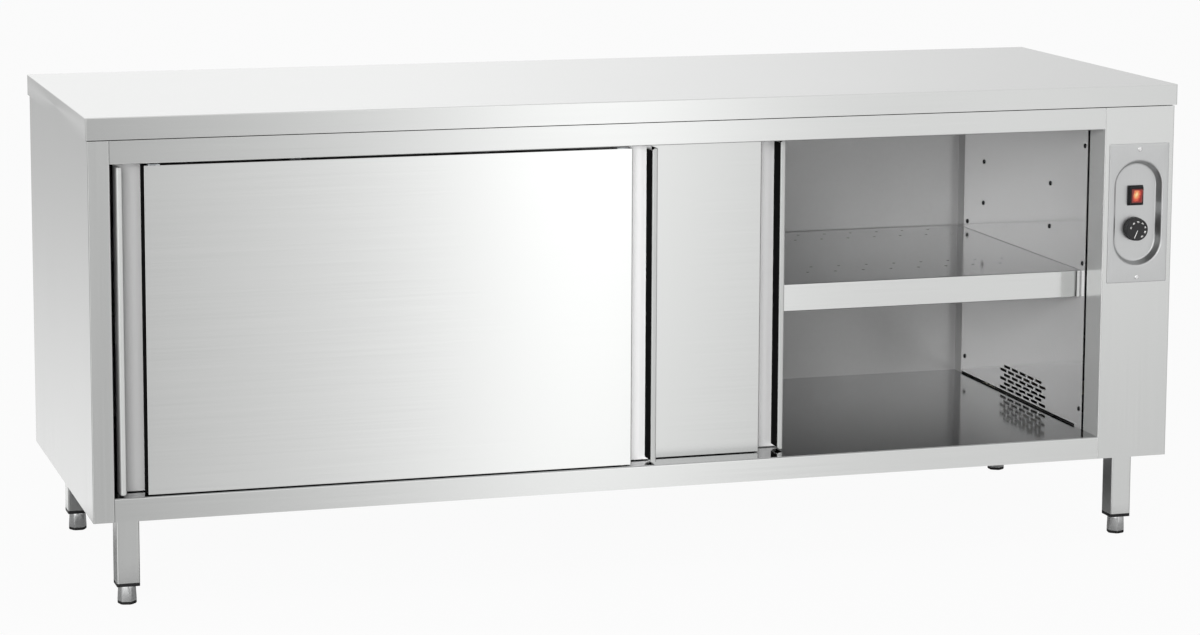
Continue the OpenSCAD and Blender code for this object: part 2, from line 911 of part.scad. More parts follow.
module leg_fl() { leg(-1, -1); }
module leg_fr() { leg(1, -1); }
module leg_bl() { leg(-1, 1); }
module leg_br() { leg(1, 1); }
module cap_fl() { cap(-1, -1); }
module cap_fr() { cap(1, -1); }
module cap_bl() { cap(-1, 1); }
module cap_br() { cap(1, 1); }
module foot_fl() { foot(-1, -1, foot_turns[0]); }
module foot_fr() { foot(1, -1, foot_turns[1]); }
module foot_bl() { foot(-1, 1, foot_turns[2]); }
module foot_br() { foot(1, 1, foot_turns[3]); }

// Bevelled section of the control plate, w wide, in front of the column
module plate_section(w) {
    half = w / 2;
    rim_y = plate_y + plate_bevel / 2;
    polygon([
        [-half, front_y], [half, front_y], [half, rim_y],
        [half - plate_bevel, plate_y], [plate_bevel - half, plate_y], [-half, rim_y]
    ]);
}

// A drawn stadium from the plate front at y0 to y1, narrowing by the draft
module bowl(y0, y1, w, h, draft) {
    r = w / 2;
    run = h / 2 - r;
    for (s = [-1, 1]) translate([plate_x, y1, plate_z + s * run]) rotate([90, 0, 0])
        cylinder(r1 = r - draft, r2 = r, h = y1 - y0);
    along_z(plate_z - run, plate_z + run) translate([plate_x, 0]) polygon([
        [-r, y0], [r, y0], [r - draft, y1], [draft - r, y1]
    ]);
}

module control_plate() {
    color("lightgray") difference() {
        union() {
            intersection() {
                along_z(plate_z - plate_h / 2, plate_z + plate_h / 2)
                    translate([plate_x, 0]) plate_section(plate_w);
                translate([plate_x - plate_w / 2, 0, plate_z]) rotate([90, 0, 90]) linear_extrude(plate_w)
                    rotate(90) plate_section_side();
            }
            bowl(front_y, bowl_back, bowl_w + bowl_hole / 2, bowl_h + bowl_hole / 2, bowl_draft);
        }
        bowl(plate_y, bowl_y, bowl_w, bowl_h, bowl_draft);
        bowl(plate_y - overrun, plate_y, bowl_w, bowl_h, 0);
        box(plate_x - hood_w / 2 - free_fit, plate_x + hood_w / 2 + free_fit,
            bowl_y - overrun, bowl_back + overrun,
            switch_z - hood_h / 2 - free_fit, switch_z + hood_h / 2 + free_fit);
        bar_y(plate_x, knob_z, bush_r + free_fit, bowl_y - overrun, bowl_back + overrun);
        for (z = plate_screw_z())
            bar_y(plate_x, z, plate_screw_r + free_fit, plate_y - overrun, front_y + overrun);
    }
}

// The same bevelled section for the plate's height, turned so that Y runs up
module plate_section_side() {
    mirror([0, 1]) plate_section(plate_h);
}

// Hood of the switch with a round seat for its rocker, and the body behind the plate
module rocker_bezel() {
    hood_y = bowl_y - hood_d;
    color("black") difference() {
        union() {
            box(plate_x - bezel_w / 2, plate_x + bezel_w / 2, bowl_y - bezel_t, bowl_y,
                switch_z - bezel_h / 2, switch_z + bezel_h / 2);
            box(plate_x - hood_w / 2, plate_x + hood_w / 2, hood_y, bowl_back + switch_body_d,
                switch_z - hood_h / 2, switch_z + hood_h / 2);
        }
        bar_x(hood_y + rocker_pivot, switch_z, rocker_r + free_fit,
            plate_x - rocker_w / 2 - free_fit, plate_x + rocker_w / 2 + free_fit);
    }
}

// Rocker with two faces that meet in a shallow valley, tilted to its upper stop
module rocker() {
    pivot_y = bowl_y - hood_d + rocker_pivot;
    color("red") translate([plate_x, pivot_y, switch_z]) rotate([rocker_tilt, 0, 0])
        translate([-rocker_w / 2, 0, 0]) rotate([90, 0, 90]) linear_extrude(rocker_w) intersection() {
            circle(rocker_r);
            polygon([
                [-rocker_pivot, 0],
                [-rocker_pivot - rocker_face * sin(rocker_tilt), rocker_face],
                [-rocker_pivot - rocker_face * sin(rocker_tilt), rocker_r],
                [rocker_front, rocker_r], [rocker_front, -rocker_r],
                [-rocker_pivot - rocker_face * sin(rocker_tilt), -rocker_r],
                [-rocker_pivot - rocker_face * sin(rocker_tilt), -rocker_face]
            ]);
        }
}

// Round knob with a skirt and a flat face, blind-bored for the thermostat shaft
module knob() {
    back = bowl_y - bush_h - knob_gap;
    skirt_r = knob_d / 2;
    body_r = skirt_r - knob_step;
    color("black") translate([plate_x, back, knob_z]) rotate([90, 0, 0]) difference() {
        rotate_extrude() polygon([
            [0, 0], [skirt_r, 0], [skirt_r, knob_skirt], [body_r, knob_skirt],
            [body_r, knob_h - knob_edge], [body_r - knob_edge, knob_h], [0, knob_h]
        ]);
        translate([0, 0, -overrun]) cylinder(r = shaft_r + run_fit, h = knob_h - knob_wall + overrun);
    }
}

// Thermostat body behind the plate, with its bush and shaft
module thermostat() {
    shaft_y = bowl_y - bush_h - knob_gap - knob_h + knob_wall + free_fit;
    color("dimgray") {
        box(plate_x - stat_w / 2, plate_x + stat_w / 2, bowl_back, bowl_back + stat_d,
            knob_z - stat_h / 2, knob_z + stat_h / 2 - bush_r);
        bar_y(plate_x, knob_z, bush_r, bowl_y - bush_h, bowl_back);
        bar_y(plate_x, knob_z, shaft_r, shaft_y, bowl_back);
    }
}

// Air duct behind the vent slots: open to the wall, with a round inlet on top
module air_duct() {
    y0 = vent_y - duct_l / 2;
    y1 = vent_y + duct_l / 2;
    color("silver") difference() {
        box(duct_x0, duct_x0 + duct_w, y0, y1, duct_z0, duct_z1);
        box(duct_x0 - overrun, duct_x0 + duct_w - sheet, y0 + sheet, y1 - sheet,
            duct_z0 + sheet, duct_z1 - sheet);
        translate([fan_x, vent_y, duct_z1 - overrun]) cylinder(r = fan_hole_r, h = 2 * overrun);
        for (s = [-1, 1])
            bar_y(fan_x + s * tube_bend, tube_z, tube_r + free_fit, y0 - overrun, y0 + overrun);
    }
}

// Square fan frame on the duct, with a motor boss on four struts
module fan_frame() {
    translate([fan_x, vent_y, fan_z0]) color("dimgray") {
        difference() {
            along_z(0, fan_t) square(fan_w, center = true);
            translate([0, 0, -overrun]) cylinder(r = fan_hole_r, h = fan_t + 2 * overrun);
        }
        translate([0, 0, fan_t - fan_motor_h]) {
            cylinder(r = fan_motor_r, h = fan_motor_h);
            intersection() {
                for (a = [45, 135]) rotate(a) translate([-fan_w, -fan_strut / 2, 0])
                    cube([2 * fan_w, fan_strut, fan_motor_h]);
                cylinder(r = fan_hole_r + fan_wall / 2, h = fan_motor_h);
            }
        }
        translate([0, 0, fan_spin_gap]) cylinder(r = fan_axle_r, h = fan_t - fan_spin_gap);
    }
}

// Hub with tilted blades, which turns on the axle under the motor boss
module fan_rotor() {
    hub_z = fan_t - fan_motor_h - fan_spin_gap - hub_t;
    translate([fan_x, vent_y, fan_z0 + hub_z]) color("black") difference() {
        union() {
            cylinder(r = hub_r, h = hub_t);
            intersection() {
                for (i = [0 : blade_count - 1]) rotate(i * 360 / blade_count) translate([0, 0, hub_t / 2])
                    rotate([blade_tilt, 0, 0]) translate([0, -blade_chord / 2, -blade_t / 2])
                        cube([fan_w, blade_chord, blade_t]);
                cylinder(r = fan_hole_r - fan_spin_gap, h = hub_t);
            }
        }
        translate([0, 0, -overrun]) cylinder(r = fan_axle_r + run_fit, h = hub_t + 2 * overrun);
    }
}

// Hairpin heating tube with fins, carried by a flange outside the duct's front wall
module heating_element() {
    y0 = vent_y - duct_l / 2;
    y1 = vent_y + duct_l / 2 - tube_in - tube_bend;
    color("darkslategray") {
        for (s = [-1, 1]) bar_y(fan_x + s * tube_bend, tube_z, tube_r, y0 - tube_end, y1);
        translate([fan_x, y1, tube_z]) rotate_extrude(angle = 180) translate([tube_bend, 0]) circle(tube_r);
        for (i = [1 : fin_count]) translate([0, y0 + i * fin_share * (y1 - y0) / fin_count, 0])
            box(fan_x - fin_w / 2, fan_x + fin_w / 2, 0, sheet, tube_z - fin_h / 2, tube_z + fin_h / 2);
        box(fan_x - tube_flange_w / 2, fan_x + tube_flange_w / 2, y0 - bracket_t, y0,
            tube_z - tube_flange_h / 2, tube_z + tube_flange_h / 2);
    }
}

// Terminal strip on the cabinet bottom behind the duct
module terminal_block() {
    step = terminal_w / terminal_ways;
    color("white") translate([plate_x - terminal_w / 2, terminal_y, pan_top]) {
        cube([terminal_w, terminal_d, terminal_h]);
        for (i = [0 : terminal_ways - 1]) translate([i * step, (terminal_d - terminal_rib) / 2, terminal_h])
            cube([step / 2, terminal_rib, terminal_rib]);
    }
}

// Cable gland through the cabinet bottom, with nuts above and below
module cable_gland() {
    color("dimgray") translate([plate_x, gland_y, 0]) difference() {
        union() {
            translate([0, 0, cab_bottom - gland_nut]) cylinder(r = gland_nut_r, h = gland_nut, $fn = 6);
            translate([0, 0, cab_bottom - gland_nut - gland_dome])
                cylinder(r1 = gland_r - gland_nut / 2, r2 = gland_r, h = gland_dome);
            translate([0, 0, cab_bottom - gland_nut]) cylinder(r = gland_r, h = 3 * gland_nut);
            translate([0, 0, pan_top]) cylinder(r = gland_nut_r, h = gland_nut, $fn = 6);
        }
        translate([0, 0, cab_bottom - gland_nut - gland_dome - overrun])
            cylinder(r = gland_bore_r, h = gland_dome + 3 * gland_nut + 2 * overrun);
    }
}

worktop();
worktop_bearers();
side_left();
side_right();
back_panel();
bottom_pan();
ceiling();
top_rail();
bottom_rail();
liner_left();
liner_right();
liner_back();
floor_plate();
floor_bearers();
shelf();
shelf_runners();
shelf_beam();
wall_pegs();
screws();
door_tracks();
track_stops();
guide_pins();
front_panel();
front_skin();
front_lips();
front_hangers();
front_roller_a();
front_roller_b();
rear_panel();
rear_skin();
rear_lips();
rear_hangers();
rear_roller_a();
rear_roller_b();
leg_fl();
leg_fr();
leg_bl();
leg_br();
cap_fl();
cap_fr();
cap_bl();
cap_br();
foot_fl();
foot_fr();
foot_bl();
foot_br();
control_plate();
rocker_bezel();
rocker();
knob();
thermostat();
air_duct();
fan_frame();
fan_rotor();
heating_element();
terminal_block();
cable_gland();
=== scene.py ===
import math

import bmesh
import bpy
from mathutils import Matrix, Vector


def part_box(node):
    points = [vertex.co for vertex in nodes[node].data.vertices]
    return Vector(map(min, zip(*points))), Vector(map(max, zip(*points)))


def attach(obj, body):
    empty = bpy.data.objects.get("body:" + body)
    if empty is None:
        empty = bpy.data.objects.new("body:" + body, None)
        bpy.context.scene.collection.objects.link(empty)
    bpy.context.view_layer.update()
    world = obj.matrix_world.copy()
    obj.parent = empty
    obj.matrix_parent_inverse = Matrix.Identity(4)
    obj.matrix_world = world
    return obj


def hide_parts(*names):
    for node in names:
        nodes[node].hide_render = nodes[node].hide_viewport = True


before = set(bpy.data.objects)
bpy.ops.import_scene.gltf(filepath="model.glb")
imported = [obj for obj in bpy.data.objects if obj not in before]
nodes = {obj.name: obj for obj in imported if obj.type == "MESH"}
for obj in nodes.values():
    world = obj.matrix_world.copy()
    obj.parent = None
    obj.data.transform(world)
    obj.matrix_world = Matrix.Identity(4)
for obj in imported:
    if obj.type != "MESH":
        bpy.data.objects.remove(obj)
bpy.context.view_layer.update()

# Camera: stands to the left of the cupboard's front, a little above the worktop,
# with a long lens that is shifted so that upright edges stay nearly upright. The
# picture's size is 1200 by 635.
picture_width = 1200
picture_height = 635
camera_place = Vector((-1.87281, -6.10566, 1.55449))
camera_yaw = 0.2981
camera_pitch = 0.1445
camera_roll = 0.0044
focal_pixels = 3490.69
axis_row = 200
film_width = 36
farthest = 50

camera_data = bpy.data.cameras.new("camera")
camera_data.sensor_width = film_width
camera_data.lens = focal_pixels / picture_width * film_width
camera_data.shift_y = (axis_row - picture_height / 2) / picture_width
camera_data.clip_end = farthest
camera = bpy.data.objects.new("camera", camera_data)
bpy.context.scene.collection.objects.link(camera)
ahead = Vector((
    math.sin(camera_yaw) * math.cos(camera_pitch),
    math.cos(camera_yaw) * math.cos(camera_pitch),
    -math.sin(camera_pitch),
))
level = Vector((math.cos(camera_yaw), -math.sin(camera_yaw), 0))
upright = level.cross(ahead)
right = math.cos(camera_roll) * level + math.sin(camera_roll) * upright
up = math.cos(camera_roll) * upright - math.sin(camera_roll) * level
aim = Matrix((right, up, -ahead)).transposed().to_4x4()
camera.matrix_world = Matrix.Translation(camera_place) @ aim
bpy.context.scene.camera = camera
bpy.context.scene.view_settings.view_transform = "Standard"


# Studio: a white room with a bright wall to the left, a dark patch straight in
# front and a tall white screen to the right of that. Two soft lamps, which the steel
# doesn't mirror, light a floor of white paper that keeps the cupboard's shadow.
def linear(code):
    parts = [int(code[i:i + 2], 16) / 255 for i in (1, 3, 5)]
    return [p / 12.92 if p <= 0.04045 else ((p + 0.055) / 1.055) ** 2.4 for p in parts] + [1]


def add(tree, kind, inputs=None, **settings):
    node = tree.nodes.new(kind)
    for key, value in settings.items():
        setattr(node, key, value)
    for key, value in (inputs or {}).items():
        if isinstance(value, bpy.types.NodeSocket):
            tree.links.new(value, node.inputs[key])
        else:
            node.inputs[key].default_value = value
    return node


room_gain = 2
# Bearing from the front, in degrees to the right, with the brightness of the
# near floor, the far floor and the walls there, as shares of the gain
room = (
    (-180, 0.58, 0.33, 0.58), (-168, 0.55, 0.31, 0.53), (-158, 0.30, 0.25, 0.40),
    (-130, 0.20, 0.18, 0.22), (-95, 0.20, 0.20, 0.30), (-60, 0.42, 0.42, 0.62),
    (-42, 0.55, 0.55, 0.95), (-32, 0.75, 0.75, 1.00), (-25.5, 0.36, 0.36, 1.00),
    (-18, 0.55, 0.55, 0.95), (-6, 0.12, 0.12, 0.20), (3, 0.18, 0.19, 0.21),
    (8.7, 0.28, 0.29, 0.30), (10, 0.33, 0.35, 0.36), (12, 0.38, 0.42, 0.43),
    (13.5, 0.43, 0.50, 0.51), (15, 0.54, 0.66, 0.68), (16, 0.62, 0.80, 0.82),
    (17, 0.64, 0.86, 0.88), (18, 0.56, 0.79, 0.80), (19.5, 0.46, 0.58, 0.60),
    (21, 0.44, 0.50, 0.52), (23, 0.42, 0.50, 0.51), (24, 0.44, 0.56, 0.48),
    (26.5, 0.38, 0.50, 0.44), (40, 0.32, 0.36, 0.36), (60, 0.27, 0.30, 0.32),
    (95, 0.30, 0.32, 0.34), (130, 0.34, 0.32, 0.35), (152, 0.40, 0.34, 0.40),
    (168, 0.52, 0.34, 0.57), (180, 0.58, 0.33, 0.58),
)
ceiling_share = 0.48
# Heights of the gaze between which one of the four passes into the next
room_blends = ((-0.24, -0.10), (-0.05, 0.05), (0.30, 0.70))
world = bpy.data.worlds.new("studio")
bpy.context.scene.world = world
world.use_nodes = True
tree = world.node_tree
tree.nodes.clear()
gaze = add(tree, "ShaderNodeTexCoord").outputs["Generated"]
heading = add(tree, "ShaderNodeSeparateXYZ", {0: gaze})
toward = add(tree, "ShaderNodeMath", {0: heading.outputs["Y"], 1: -1}, operation="MULTIPLY")
bearing = add(tree, "ShaderNodeMath", {
    0: heading.outputs["X"], 1: toward.outputs[0]}, operation="ARCTAN2")
share = add(tree, "ShaderNodeMapRange", {
    "Value": bearing.outputs[0], "From Min": -math.pi, "From Max": math.pi})
bands = []
for column in (1, 2, 3):
    band = add(tree, "ShaderNodeValToRGB", {0: share.outputs[0]})
    band.color_ramp.interpolation = "EASE"
    while len(band.color_ramp.elements) < len(room):
        band.color_ramp.elements.new(0.5)
    for stop, row in zip(band.color_ramp.elements, room):
        stop.position = (row[0] + 180) / 360
        stop.color = (row[column], row[column], row[column], 1)
    bands.append(band.outputs[0])
bands.append((ceiling_share, ceiling_share, ceiling_share, 1))
all_round = bands[0]
for above, (low, high) in zip(bands[1:], room_blends):
    rise = add(tree, "ShaderNodeMapRange", {
        "Value": heading.outputs["Z"], "From Min": low, "From Max": high},
        interpolation_type="SMOOTHSTEP")
    blend = add(tree, "ShaderNodeMix", {
        0: rise.outputs[0], 6: all_round, 7: above}, data_type="RGBA")
    all_round = blend.outputs[2]
seen = add(tree, "ShaderNodeLightPath").outputs["Is Camera Ray"]
room_light = add(tree, "ShaderNodeBackground", {"Color": all_round, "Strength": room_gain})
backdrop = add(tree, "ShaderNodeBackground", {"Color": (1, 1, 1, 1), "Strength": 1})
either = add(tree, "ShaderNodeMixShader", {
    0: seen, 1: room_light.outputs[0], 2: backdrop.outputs[0]})
add(tree, "ShaderNodeOutputWorld", {"Surface": either.outputs[0]})


def blank(name):
    material = bpy.data.materials.new(name)
    material.use_nodes = True
    material.node_tree.nodes.clear()
    return material, material.node_tree


def coat(piece, *materials):
    piece.data.materials.clear()
    for material in materials:
        piece.data.materials.append(material)


paper_size = 30
# Steel mirrors the paper only near the legs; further out it mirrors the room
mirrored_shape = (0.8, 1.6, 0)
mirrored_near = 0.8
mirrored_far = 1.2
overexposed = 0.95
bpy.ops.object.select_all(action="DESELECT")
bpy.ops.mesh.primitive_plane_add(size=paper_size, location=(0, 0, 0))
floor = bpy.context.object
floor.name = "floor"
paper, tree = blank("white_paper")
place = add(tree, "ShaderNodeTexCoord").outputs["Object"]
spot = add(tree, "ShaderNodeMapping", {"Vector": place, "Scale": mirrored_shape})
reach = add(tree, "ShaderNodeVectorMath", {0: spot.outputs[0]}, operation="LENGTH")
far = add(tree, "ShaderNodeMapRange", {
    "Value": reach.outputs["Value"], "From Min": mirrored_near, "From Max": mirrored_far},
    interpolation_type="SMOOTHSTEP")
rays = add(tree, "ShaderNodeLightPath").outputs
shade = add(tree, "ShaderNodeBsdfDiffuse", {"Color": linear("#8C8C8C")})
white = add(tree, "ShaderNodeEmission", {"Color": (1, 1, 1, 1), "Strength": 1})
to_lens = add(tree, "ShaderNodeMath", {
    0: rays["Is Camera Ray"], 1: overexposed}, operation="MULTIPLY")
sheet = add(tree, "ShaderNodeMixShader", {
    0: to_lens.outputs[0], 1: shade.outputs[0], 2: white.outputs[0]})
past = add(tree, "ShaderNodeMath", {
    0: rays["Is Glossy Ray"], 1: far.outputs[0]}, operation="MULTIPLY")
clear = add(tree, "ShaderNodeBsdfTransparent")
ends = add(tree, "ShaderNodeMixShader", {
    0: past.outputs[0], 1: sheet.outputs[0], 2: clear.outputs[0]})
add(tree, "ShaderNodeOutputMaterial", {"Surface": ends.outputs[0]})
coat(floor, paper)

for name, energy, size, place, target in (
    ("ceiling_softbox", 20, (3.2, 2.2), (0.3, -0.8, 3.4), (0.3, -0.8, 0)),
    ("front_softbox", 520, (3.0, 2.0), (-2.4, -4.6, 1.4), (0.2, 0, 0.5)),
):
    lamp_data = bpy.data.lights.new(name, "AREA")
    lamp_data.shape = "RECTANGLE"
    lamp_data.size, lamp_data.size_y = size
    lamp_data.energy = energy
    lamp = bpy.data.objects.new(name, lamp_data)
    lamp.location = place
    gaze = Vector(target) - Vector(place)
    lamp.rotation_euler = gaze.to_track_quat("-Z", "Y").to_euler()
    lamp.visible_camera = False
    lamp.visible_glossy = False
    bpy.context.scene.collection.objects.link(lamp)


# Legs: four square stainless tubes, each welded to a plate under the cabinet and
# ground up and down with a belt. The belt's scratches stretch what the steel
# mirrors; they are drawn about ten times as coarse as they are.
def stainless(name, grain, around, colour, metal, shine, stretch, scratch):
    # grain counts the marks in a metre along x, y and z; scratch is their depth
    steel, tree = blank(name)
    place = add(tree, "ShaderNodeTexCoord").outputs["Object"]
    along = add(tree, "ShaderNodeMapping", {"Vector": place, "Scale": grain})
    lines = add(tree, "ShaderNodeTexNoise", {
        "Vector": along.outputs[0], "Scale": 1, "Detail": 3, "Roughness": 0.6})
    clouds = add(tree, "ShaderNodeTexNoise", {
        "Vector": place, "Scale": 3.5, "Detail": 2, "Roughness": 0.5})
    dark = [c * 0.93 for c in linear(colour)[:3]] + [1]
    tint = add(tree, "ShaderNodeMix", {
        0: lines.outputs[0], 6: dark, 7: linear(colour)}, data_type="RGBA")
    rough = add(tree, "ShaderNodeMapRange", {
        "Value": lines.outputs[0], "From Min": 0.3, "From Max": 0.7,
        "To Min": shine * 0.9, "To Max": shine * 1.1})
    height = add(tree, "ShaderNodeMath", {
        0: lines.outputs[0], 1: clouds.outputs[0]}, operation="ADD")
    relief = add(tree, "ShaderNodeBump", {
        "Height": height.outputs[0], "Strength": 1, "Distance": scratch})
    across = add(tree, "ShaderNodeTangent", direction_type="RADIAL", axis=around)
    skin = add(tree, "ShaderNodeBsdfPrincipled", {
        "Base Color": tint.outputs[2], "Metallic": metal, "Roughness": rough.outputs[0],
        "Anisotropic": stretch, "Normal": relief.outputs[0], "Tangent": across.outputs[0]})
    add(tree, "ShaderNodeOutputMaterial", {"Surface": skin.outputs[0]})
    return steel


def dress(material, *names):
    for name in names:
        coat(nodes[name], material)


upright_belt = (320, 320, 3)
ground_upright = stainless(
    "stainless_ground_upright", grain=upright_belt, around="Z", colour="#D9DAD9",
    metal=1, shine=0.16, stretch=0.8, scratch=0.000001)
dress(ground_upright, "leg_fl", "leg_fr", "leg_bl", "leg_br")


# Leg caps: black plastic plugs pressed into the lower ends of the legs, with a
# soft edge and a fine spark-eroded grain from the mould.
def moulded(name, colour, shine, grain, depth, gloss=0.5):
    # grain counts the pits in a metre, and depth is theirs
    plastic, tree = blank(name)
    place = add(tree, "ShaderNodeTexCoord").outputs["Object"]
    pits = add(tree, "ShaderNodeTexNoise", {
        "Vector": place, "Scale": grain, "Detail": 2, "Roughness": 0.5})
    flow = add(tree, "ShaderNodeTexNoise", {
        "Vector": place, "Scale": 60, "Detail": 2, "Roughness": 0.5})
    pale = [min(1, c * 1.12 + 0.003) for c in linear(colour)[:3]] + [1]
    tint = add(tree, "ShaderNodeMix", {
        0: flow.outputs[0], 6: linear(colour), 7: pale}, data_type="RGBA")
    rough = add(tree, "ShaderNodeMapRange", {
        "Value": flow.outputs[0], "From Min": 0.3, "From Max": 0.7,
        "To Min": shine - 0.05, "To Max": shine + 0.05})
    relief = add(tree, "ShaderNodeBump", {
        "Height": pits.outputs[0], "Strength": 0.6, "Distance": depth})
    skin = add(tree, "ShaderNodeBsdfPrincipled", {
        "Base Color": tint.outputs[2], "Roughness": rough.outputs[0],
        "Specular IOR Level": gloss, "Normal": relief.outputs[0]})
    add(tree, "ShaderNodeOutputMaterial", {"Surface": skin.outputs[0]})
    return plastic


def softened(name, edge, turn):
    # A copy of a node, with its edges that turn by so many degrees rounded off
    bpy.ops.object.select_all(action="DESELECT")
    piece = nodes[name].copy()
    piece.data = nodes[name].data.copy()
    piece.parent = None
    piece.name = name + "_soft"
    bpy.context.scene.collection.objects.link(piece)
    bpy.context.view_layer.objects.active = piece
    piece.select_set(True)
    for key in [k for k in piece.keys() if k.startswith("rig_")]:
        del piece[key]
    bpy.ops.object.mode_set(mode="EDIT")
    bpy.ops.mesh.select_all(action="SELECT")
    bpy.ops.mesh.remove_doubles(threshold=0.00001)
    bpy.ops.mesh.dissolve_limited(angle_limit=math.radians(1))
    bpy.ops.object.mode_set(mode="OBJECT")
    round_off = piece.modifiers.new("round_off", "BEVEL")
    round_off.width = edge
    round_off.segments = 3
    round_off.limit_method = "ANGLE"
    round_off.angle_limit = math.radians(turn)
    bpy.ops.object.modifier_apply(modifier="round_off")
    bpy.ops.object.shade_smooth_by_angle(angle=math.radians(35))
    return piece


black_plastic = moulded(
    "black_polyamide", colour="#0A0A0B", shine=0.5, grain=2500, depth=0.00003, gloss=0.3)
for name in ("cap_fl", "cap_fr", "cap_bl", "cap_br"):
    plug = softened(name, edge=0.0008, turn=40)
    coat(plug, black_plastic)
    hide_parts(name)
    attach(plug, "cabinet")


# Feet: six-sided steel bodies turned to a cone at the top, each with a rubber pad
# glued on below and a threaded stem that screws up into the cap. The thread is cut
# as closed ridges.
def turned(name, sides, rings):
    # A body of revolution about Z, from rings of radius and height
    bpy.ops.object.select_all(action="DESELECT")
    bpy.ops.mesh.primitive_circle_add(vertices=sides, radius=rings[0][0], fill_type="NGON")
    piece = bpy.context.object
    piece.name = name
    bpy.ops.object.mode_set(mode="EDIT")
    bpy.ops.mesh.select_all(action="SELECT")
    bpy.ops.transform.translate(value=(0, 0, rings[0][1]))
    for before, after in zip(rings, rings[1:]):
        bpy.ops.mesh.extrude_region_move(
            TRANSFORM_OT_translate={"value": (0, 0, after[1] - before[1])})
        swell = after[0] / before[0]
        bpy.ops.transform.resize(value=(swell, swell, 1), center_override=(0, 0, after[1]))
    bpy.ops.mesh.select_all(action="SELECT")
    bpy.ops.mesh.normals_make_consistent(inside=False)
    bpy.ops.object.mode_set(mode="OBJECT")
    bpy.ops.object.shade_smooth_by_angle(angle=math.radians(40))
    return piece


def join(main, others):
    bpy.ops.object.select_all(action="DESELECT")
    for piece in (main, *others):
        piece.select_set(True)
    bpy.context.view_layer.objects.active = main
    bpy.ops.object.join()


pad_top = 0.0050
foot_top = 0.032
stem_cut = foot_top + 0.001
stem_sides = 32
thread_pitch = 0.0015
thread_depth = 0.0007
lathe_marks = (5, 5, 1500)
turned_steel = stainless(
    "turned_steel", grain=lathe_marks, around="Z", colour="#D8D9D9",
    metal=1, shine=0.24, stretch=0.3, scratch=0.000004)
rubber = moulded("black_rubber", colour="#060606", shine=0.75, grain=1200, depth=0.00005)
thread = stainless(
    "threaded_steel", grain=lathe_marks, around="Z", colour="#A8AAAC",
    metal=1, shine=0.2, stretch=0, scratch=0.000004)
for corner in ("fl", "fr", "bl", "br"):
    foot = softened("foot_" + corner, edge=0.0005, turn=25)
    low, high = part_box("foot_" + corner)
    middle = (low + high) / 2
    shank = [v.co for v in foot.data.vertices if v.co.z > stem_cut]
    crest = max(math.hypot(p.x - middle.x, p.y - middle.y) for p in shank)
    root = crest - thread_depth
    coat(foot, turned_steel, rubber, thread)
    bpy.ops.object.mode_set(mode="EDIT")
    bpy.ops.mesh.select_all(action="SELECT")
    bpy.ops.mesh.bisect(plane_co=(0, 0, pad_top), plane_no=(0, 0, 1))
    bpy.ops.mesh.select_all(action="SELECT")
    bpy.ops.mesh.bisect(
        plane_co=(0, 0, stem_cut), plane_no=(0, 0, 1), use_fill=True, clear_outer=True)
    bpy.ops.object.mode_set(mode="OBJECT")
    rings = [(root, foot_top)]
    while rings[-1][1] + thread_pitch < high.z:
        rings.append((crest, rings[-1][1] + thread_pitch / 2))
        rings.append((root, rings[-1][1] + thread_pitch / 2))
    stem = turned("stem", stem_sides, rings + [(root, high.z)])
    stem.data.transform(Matrix.Translation((middle.x, middle.y, 0)))
    coat(stem, thread)
    join(foot, [stem])
    for face in foot.data.polygons:
        if face.center.z < pad_top:
            face.material_index = 1
    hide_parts("foot_" + corner)
    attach(foot, "levelling_foot_" + corner)

# Body: the two sides, folded round to the front as posts, and the ground rails
# between them. The rails run across, so their belt marks lie along the length.
lengthwise_belt = (3, 320, 320)
ground_lengthwise = stainless(
    "stainless_ground_lengthwise", grain=lengthwise_belt, around="X", colour="#D9DAD9",
    metal=1, shine=0.16, stretch=0.8, scratch=0.000001)
dress(ground_upright, "side_left", "side_right")
dress(ground_lengthwise, "top_rail", "bottom_rail", "back_panel")

# Hidden sheets: the bottom pan, ceiling and bearers are folded from galvanised
# steel, whose zinc shows its flowers as pale and dark patches. The air duct is
# plain steel coloured near black, a painted shade for its closed-in inside.
flowers_per_metre = 110
zinc, tree = blank("hot_dip_galvanised_steel")
place = add(tree, "ShaderNodeTexCoord").outputs["Object"]
flowers = add(tree, "ShaderNodeTexVoronoi", {
    "Vector": place, "Scale": flowers_per_metre, "Randomness": 1})
bloom = add(tree, "ShaderNodeSeparateColor", {0: flowers.outputs["Color"]})
tint = add(tree, "ShaderNodeMix", {
    0: bloom.outputs[0], 6: linear("#A3A7AB"), 7: linear("#C9CCCE")}, data_type="RGBA")
rough = add(tree, "ShaderNodeMapRange", {
    "Value": bloom.outputs[1], "To Min": 0.3, "To Max": 0.5})
relief = add(tree, "ShaderNodeBump", {
    "Height": flowers.outputs["Distance"], "Strength": 0.3, "Distance": 0.00004})
skin = add(tree, "ShaderNodeBsdfPrincipled", {
    "Base Color": tint.outputs[2], "Metallic": 0.9, "Roughness": rough.outputs[0],
    "Normal": relief.outputs[0]})
add(tree, "ShaderNodeOutputMaterial", {"Surface": skin.outputs[0]})
dress(zinc, "bottom_pan", "ceiling", "worktop_bearers", "floor_bearers")
rolled = (90, 90, 90)
# Painted shade: a near-black steel for the shade in the air duct, in the shelf's holes and in the
# gap beside the shelf
near_black_shade = stainless(
    "painted_shade_steel", grain=rolled, around="Z", colour="#151413",
    metal=0.4, shine=0.6, stretch=0, scratch=0.000004)
dress(near_black_shade, "air_duct")
